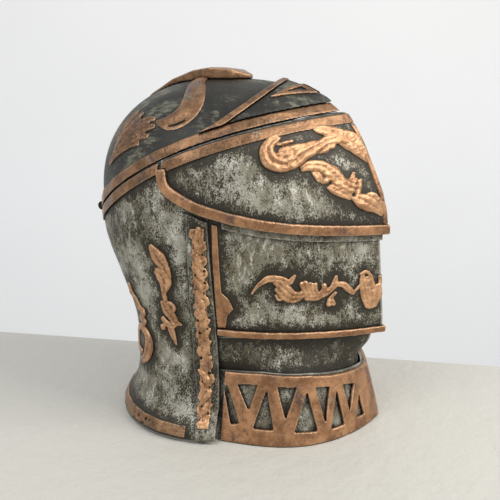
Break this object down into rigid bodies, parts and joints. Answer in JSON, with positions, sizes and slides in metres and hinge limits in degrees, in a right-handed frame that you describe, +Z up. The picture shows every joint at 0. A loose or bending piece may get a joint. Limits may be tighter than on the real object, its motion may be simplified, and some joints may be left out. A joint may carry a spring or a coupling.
{
  "type": "close helmet",
  "caption": "Ornamental full-size close helmet: neck and face plates, a visor on side pivots, a skull cap on a rear hinge, copper bands, lattice collar and cast scrollwork",
  "frame": {"origin": "bottom face centre of the bounding box, under the middle of the helmet's length, on the surface it stands on", "axes": "+Z up, the face looks along -Y, the plane of symmetry is X = 0, the wearer's right side is -X"},
  "size_m": [0.2102, 0.2672, 0.3],
  "materials": {
    "pewter_plate": "antique pewter paint rubbed back over black, blotched and speckled",
    "charcoal_plate": "black paint with a dry-brushed greenish grey",
    "copper_trim": "copper leaf paint, dark in the hollows and tarnished purple in places",
    "dark_iron": "blackened iron"
  },
  "bodies": {
    "helmet": {"neck_shell": "pewter_plate", "neck_seam_band_left": "copper_trim", "neck_seam_band_right": "copper_trim", "base_rim_band": "copper_trim", "cheek_strip_left": "pewter_plate", "cheek_strip_right": "pewter_plate", "cheek_filigree_left": "copper_trim", "cheek_filigree_right": "copper_trim", "cheek_ornament_left": "copper_trim", "cheek_ornament_right": "copper_trim", "rear_ornament_left": "copper_trim", "rear_ornament_right": "copper_trim", "face_plate": "pewter_plate", "ledge_bead": "copper_trim", "face_border_left": "copper_trim", "face_border_right": "copper_trim", "face_garland_left": "copper_trim", "face_garland_right": "copper_trim", "face_palmette": "copper_trim", "throat_plate": "pewter_plate", "collar_plate": "pewter_plate", "collar_lattice": "copper_trim", "visor_pivot_pin_left": "dark_iron", "visor_pivot_pin_right": "dark_iron", "visor_pivot_washer_left": "dark_iron", "visor_pivot_washer_right": "dark_iron", "hinge_leaf_neck": "dark_iron", "hinge_pin": "dark_iron"},
    "visor": {"visor_plate": "pewter_plate", "visor_edge_bead": "copper_trim", "visor_top_band": "copper_trim", "visor_lip": "pewter_plate", "visor_ridge_strip": "copper_trim", "visor_scroll_upper_left": "copper_trim", "visor_scroll_upper_right": "copper_trim", "visor_scroll_lower_left": "copper_trim", "visor_scroll_lower_right": "copper_trim"},
    "cap": {"skull_cap": "charcoal_plate", "cap_rim_band": "copper_trim", "brow_chevron": "copper_trim", "brow_plate": "charcoal_plate", "brow_triangle_left": "copper_trim", "brow_triangle_right": "copper_trim", "crest_spine": "copper_trim", "crest_scroll_left": "copper_trim", "crest_scroll_right": "copper_trim", "crest_leaf_left": "copper_trim", "crest_leaf_right": "copper_trim", "hinge_leaf_cap": "dark_iron"}
  },
  "joints": [
    {"name": "cap_hinge", "type": "hinge", "parent": "helmet", "child": "cap", "pos_m": [0, 0.12957, 0.176], "axis": [-1, 0, 0], "range_deg": [0, 95]},
    {"name": "visor_pivot", "type": "hinge", "parent": "helmet", "child": "visor", "pos_m": [0, 0.02447, 0.2135], "axis": [-1, 0, 0], "range_deg": [0, 45]}
  ]
}
